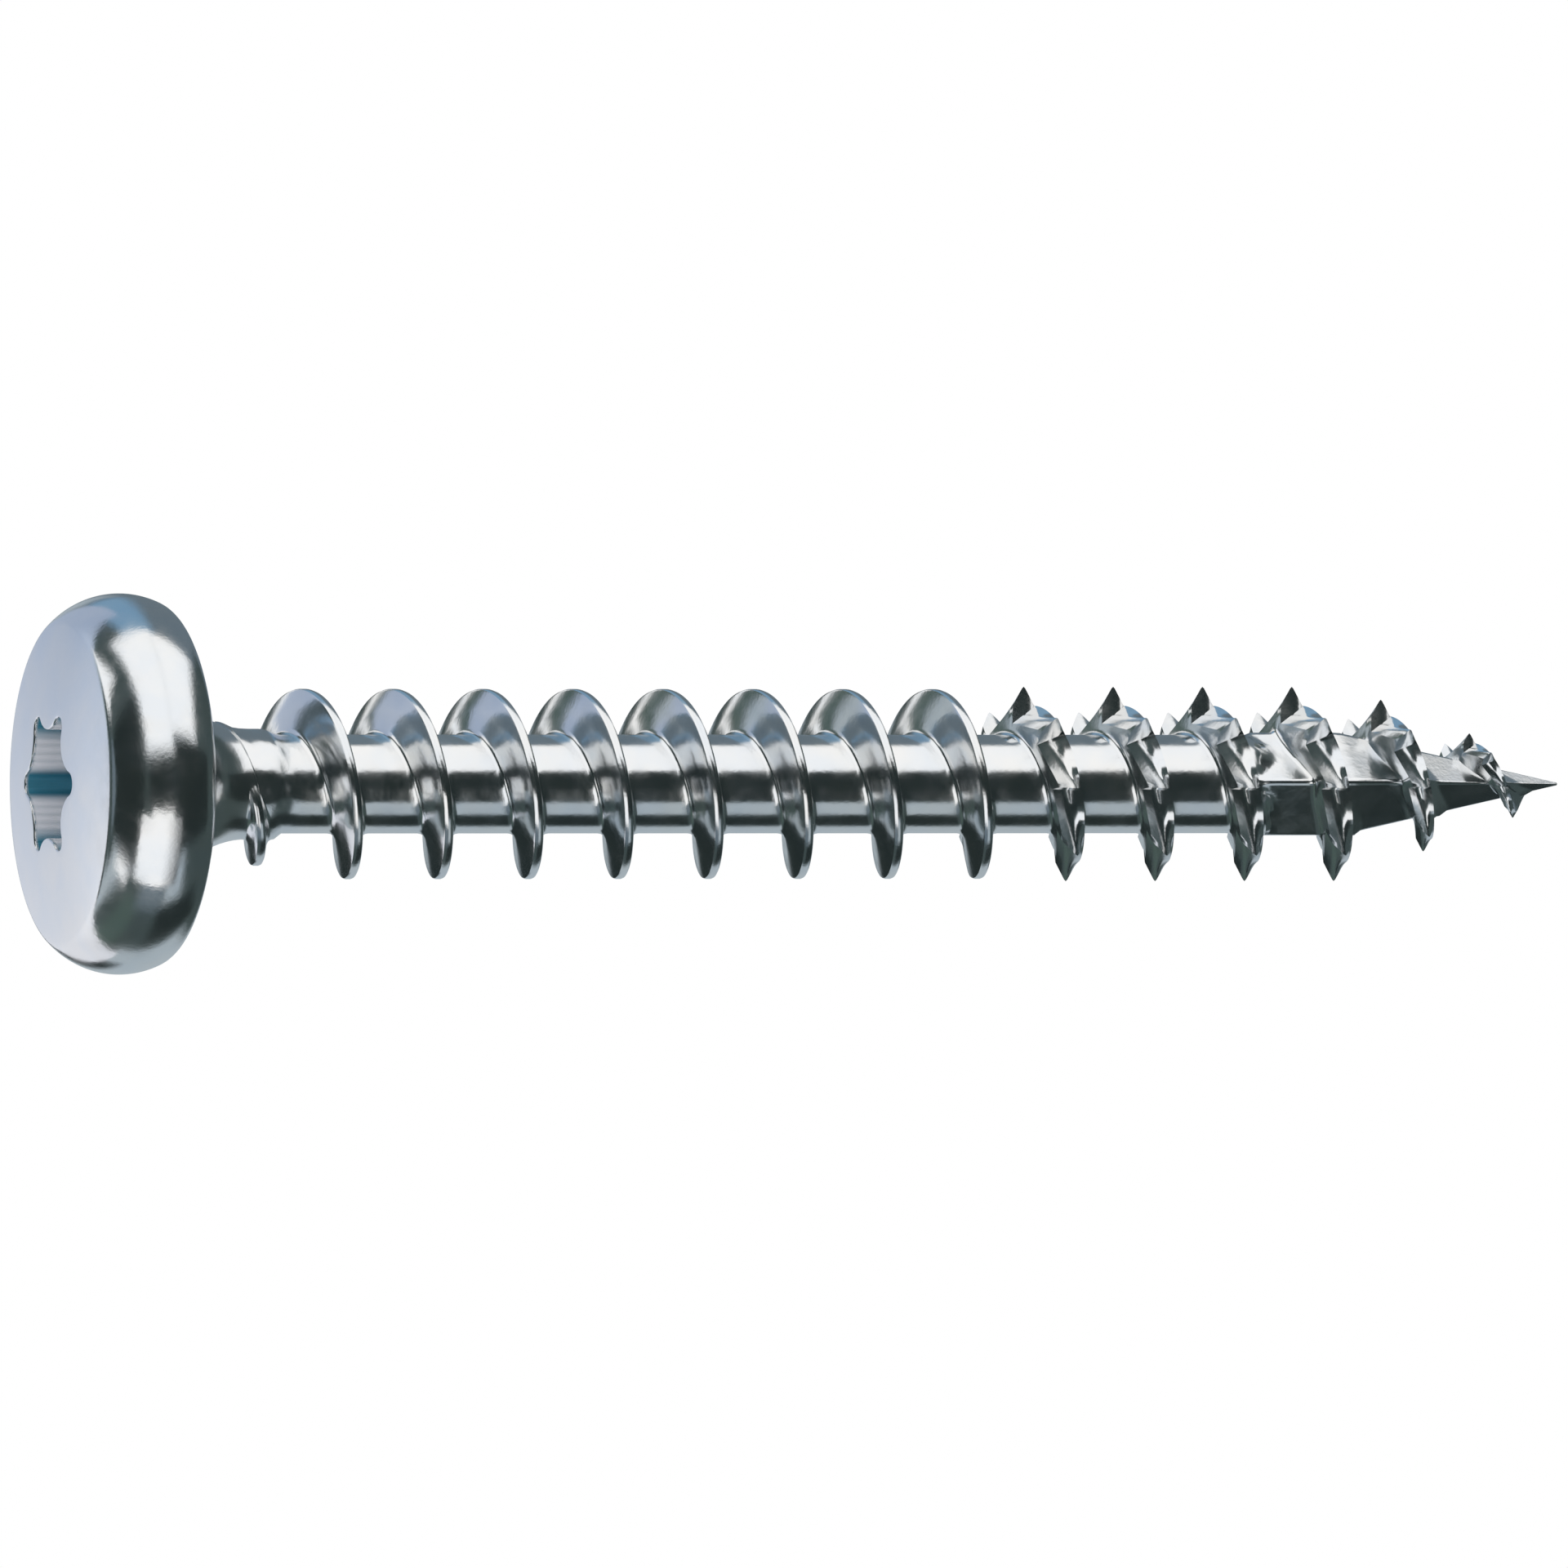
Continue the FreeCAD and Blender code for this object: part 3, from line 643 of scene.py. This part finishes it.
FLOOR_RADIUS = 0.9
FLOOR_SIDES = 96
CARD_WHITE = (0.995, 0.995, 0.995, 1.0)
floor_shape = bmesh.new()
bmesh.ops.create_circle(floor_shape, cap_ends=True, segments=FLOOR_SIDES, radius=FLOOR_RADIUS)
floor_mesh = bpy.data.meshes.new("card_floor")
floor_shape.to_mesh(floor_mesh)
floor_shape.free()
floor = bpy.data.objects.new("card_floor", floor_mesh)
bpy.context.scene.collection.objects.link(floor)
card = bpy.data.materials.new("white_card")
card.use_nodes = True
nodes, links = card.node_tree.nodes, card.node_tree.links
nodes.clear()
output = nodes.new("ShaderNodeOutputMaterial")
matt = nodes.new("ShaderNodeBsdfDiffuse")
matt.inputs["Color"].default_value = CARD_WHITE
clear = nodes.new("ShaderNodeBsdfTransparent")
one_sided = nodes.new("ShaderNodeMixShader")
under_side = nodes.new("ShaderNodeNewGeometry")
links.new(under_side.outputs["Backfacing"], one_sided.inputs["Fac"])
links.new(matt.outputs["BSDF"], one_sided.inputs[1])
links.new(clear.outputs["BSDF"], one_sided.inputs[2])
links.new(one_sided.outputs["Shader"], output.inputs["Surface"])
floor_mesh.materials.append(card)
floor.visible_glossy = False
floor.visible_diffuse = False
floor.visible_shadow = False

# Light tent: a dark grey sphere round the screw, hung with soft-edged cards in six finishes, that only
# the plating mirrors. The cards are placed to give the plating its light and dark bands, with
# a dark gap where the camera stands. The tent's radius is in metres, and the cards are in degrees.

TENT_RADIUS = 0.3
TENT_COLUMNS = 240
TENT_ROWS = 120
TENT_GREY = (0.055, 0.075, 0.075)
WHITE_CARD = (1.05, 1.05, 1.05)
PALE_CARD = (0.42, 0.48, 0.52)
BLUE_CARD = (0.20, 0.34, 0.48)
SLATE_CARD = (0.14, 0.18, 0.21)
DARK_CARD = (0.075, 0.11, 0.10)
BLACK_FLAG = (0.020, 0.028, 0.028)
# azimuth from the camera's side, elevation towards the point, half width, half height, soft edge, finish
CARDS = (
    (143, 30, 40, 18, 8, SLATE_CARD),
    (-150, 18, 32, 20, 10, PALE_CARD),
    (180, 9, 24, 5, 8, PALE_CARD),
    (124, 3, 28, 13, 10, BLUE_CARD),
    (152, -18, 22, 4, 6, WHITE_CARD),
    (150, -31, 30, 6, 6, DARK_CARD),
    (150, -46, 24, 7, 8, PALE_CARD),
    (-158, -20, 20, 30, 5, BLACK_FLAG),
    (-102, -20, 26, 9, 10, DARK_CARD),
    (-100, -52, 42, 9, 12, PALE_CARD),
    (-62, -43, 12, 9, 8, WHITE_CARD),
    (-66, 0, 14, 14, 12, SLATE_CARD),
    (-60, 24, 16, 9, 8, PALE_CARD),
    (-96, 30, 16, 18, 10, BLACK_FLAG),
    (-34, -1, 20, 15, 6, WHITE_CARD),
    (62, -6, 43, 19, 8, WHITE_CARD),
    (66, 28, 36, 17, 8, WHITE_CARD),
    (110, -52, 24, 12, 10, WHITE_CARD),
    (0, -4, 15, 18, 5, BLACK_FLAG),
    (-7, 40, 34, 26, 5, BLACK_FLAG),
    (0, -52, 60, 24, 14, BLACK_FLAG),
    (0, -90, 200, 14, 8, SLATE_CARD),
)


def tent_light(azimuth, elevation):
    """The brightness of the tent in a direction, card over card."""
    colour = TENT_GREY
    for card_azimuth, card_elevation, wide, high, soft, glow in CARDS:
        across = abs((azimuth - card_azimuth + FULL_TURN / 2) % FULL_TURN - FULL_TURN / 2) - wide
        upward = abs(elevation - card_elevation) - high
        outside = math.hypot(max(across, 0.0), max(upward, 0.0)) + min(max(across, upward), 0.0)
        share = between(0.5 - outside / soft, 0.0, 1.0)
        share = share * share * (3 - 2 * share)
        colour = tuple(mix(behind, front, share) for behind, front in zip(colour, glow))
    return colour


tent_shape = bmesh.new()
bmesh.ops.create_uvsphere(
    tent_shape, u_segments=TENT_COLUMNS, v_segments=TENT_ROWS, radius=TENT_RADIUS
)
tent_mesh = bpy.data.meshes.new("light_tent")
tent_shape.to_mesh(tent_mesh)
tent_shape.free()
glow = tent_mesh.color_attributes.new("glow", "FLOAT_COLOR", "POINT")
for vert, item in zip(tent_mesh.vertices, glow.data):
    direction = vert.co.normalized()
    azimuth = math.degrees(math.atan2(-direction.x, -direction.y))
    elevation = math.degrees(math.asin(max(-1.0, min(1.0, direction.z))))
    item.color = (*tent_light(azimuth, elevation), 1.0)
tent = bpy.data.objects.new("light_tent", tent_mesh)
bpy.context.scene.collection.objects.link(tent)
tent_cloth = bpy.data.materials.new("tent_cloth")
tent_cloth.use_nodes = True
nodes, links = tent_cloth.node_tree.nodes, tent_cloth.node_tree.links
nodes.clear()
output = nodes.new("ShaderNodeOutputMaterial")
light = nodes.new("ShaderNodeEmission")
painted = nodes.new("ShaderNodeVertexColor")
painted.layer_name = "glow"
links.new(painted.outputs["Color"], light.inputs["Color"])
links.new(light.outputs["Emission"], output.inputs["Surface"])
tent_cloth.cycles.emission_sampling = "NONE"
tent_mesh.materials.append(tent_cloth)

# Cards by the head: a small pale card behind it, below the floor's level, for the drive face to mirror,
# and a white one in front of it for the lower half of the rim. Both hang free, and only the plating
# mirrors them.

CARD_SQUARES = 24
BACK_CORNERS = ((-26, 13, -18), (26, 13, -18), (-26, 13, 1.5), (26, 13, 1.5))
BACK_DIM = (0.38, 0.45, 0.58)
BACK_BRIGHT = (0.78, 0.80, 0.86)
BACK_BLEND = 8.0
BACK_LOW_START = 6.0
BACK_LOW_FULL = 12.0
BACK_LOW_LIFT = 0.12
FRONT_CORNERS = ((3.5, -12, -3.5), (10.5, -8, -3.5), (3.5, -12, 6.0), (10.5, -8, 6.0))
FRONT_FADE_START = 2.5
FRONT_FADE_END = 6.0


def lit_card(name, corners, colour_at):
    """A flat card between four corners, in millimetres, that glows with the colour of each point."""
    shape = bmesh.new()
    bmesh.ops.create_grid(shape, x_segments=CARD_SQUARES, y_segments=CARD_SQUARES, size=1.0)
    for vert in shape.verts:
        across, upward = (vert.co.x + 1) / 2, (vert.co.y + 1) / 2
        low, high = (Vector(corners[side]).lerp(Vector(corners[side + 1]), across) for side in (0, 2))
        vert.co = low.lerp(high, upward) * MM
    mesh = bpy.data.meshes.new(name)
    shape.to_mesh(mesh)
    shape.free()
    glow = mesh.color_attributes.new("glow", "FLOAT_COLOR", "POINT")
    for vert, item in zip(mesh.vertices, glow.data):
        item.color = (*colour_at(vert.co / MM), 1.0)
    mesh.materials.append(tent_cloth)
    card = bpy.data.objects.new(name, mesh)
    bpy.context.scene.collection.objects.link(card)
    return card


def drive_face_glow(point):
    """Bluish grey towards the top of the picture, and paler towards its foot and lower down."""
    lit = between(point.x, -BACK_BLEND, BACK_BLEND)
    lift = BACK_LOW_LIFT * between(-point.z, BACK_LOW_START, BACK_LOW_FULL)
    return [mix(dim, bright, lit) + lift for dim, bright in zip(BACK_DIM, BACK_BRIGHT)]


def rim_glow(point):
    """White, and fading towards its top so that the first turns of the thread don't mirror it."""
    lit = 1.0 - between(point.z, FRONT_FADE_START, FRONT_FADE_END)
    return [mix(dark, bright, lit) for dark, bright in zip(BLACK_FLAG, WHITE_CARD)]


back_card = lit_card("back_card", BACK_CORNERS, drive_face_glow)
front_card = lit_card("front_card", FRONT_CORNERS, rim_glow)
for lit_stage in (tent, back_card, front_card):
    lit_stage.visible_camera = False
    lit_stage.visible_diffuse = False
    lit_stage.visible_shadow = False
    lit_stage.visible_transmission = False

# White room: plain, even light from every side, at the level where a colour shows as it is written.
# It is also the white background of the picture.

world = bpy.data.worlds.new("white_room")
world.use_nodes = True
world.node_tree.nodes["Background"].inputs["Color"].default_value = (1.0, 1.0, 1.0, 1.0)
world.node_tree.nodes["Background"].inputs["Strength"].default_value = 1.0
bpy.context.scene.world = world
bpy.context.scene.view_settings.view_transform = "Standard"

# Camera: a long lens far off, so that the screw is seen almost without perspective. It stands 19
# degrees below square to the axis and is turned a quarter, so that the screw lies across the picture.
# Sensor and lens are in millimetres, and the near limit of the view is in metres.

BELOW_SQUARE = math.radians(19.0)
FRAME_WIDTH = 41.29
FRAME_MIDDLE = 20.456
CAMERA_DISTANCE = 1500.0
SENSOR_WIDTH = 36.0
NEAR_LIMIT = 0.01
towards_camera = Vector((0.0, -math.cos(BELOW_SQUARE), -math.sin(BELOW_SQUARE)))
picture_right = Vector((0.0, -math.sin(BELOW_SQUARE), math.cos(BELOW_SQUARE)))
picture_up = Vector((-1.0, 0.0, 0.0))
lens = bpy.data.cameras.new("long_lens")
lens.sensor_width = SENSOR_WIDTH
lens.lens = SENSOR_WIDTH * CAMERA_DISTANCE / FRAME_WIDTH
lens.clip_start = NEAR_LIMIT
camera = bpy.data.objects.new("long_lens", lens)
bpy.context.scene.collection.objects.link(camera)
stand = Vector((0.0, 0.0, FRAME_MIDDLE)) * MM + towards_camera * CAMERA_DISTANCE * MM
camera.matrix_world = Matrix.Translation(stand) @ Matrix(
    (picture_right, picture_up, towards_camera)
).transposed().to_4x4()
bpy.context.scene.camera = camera
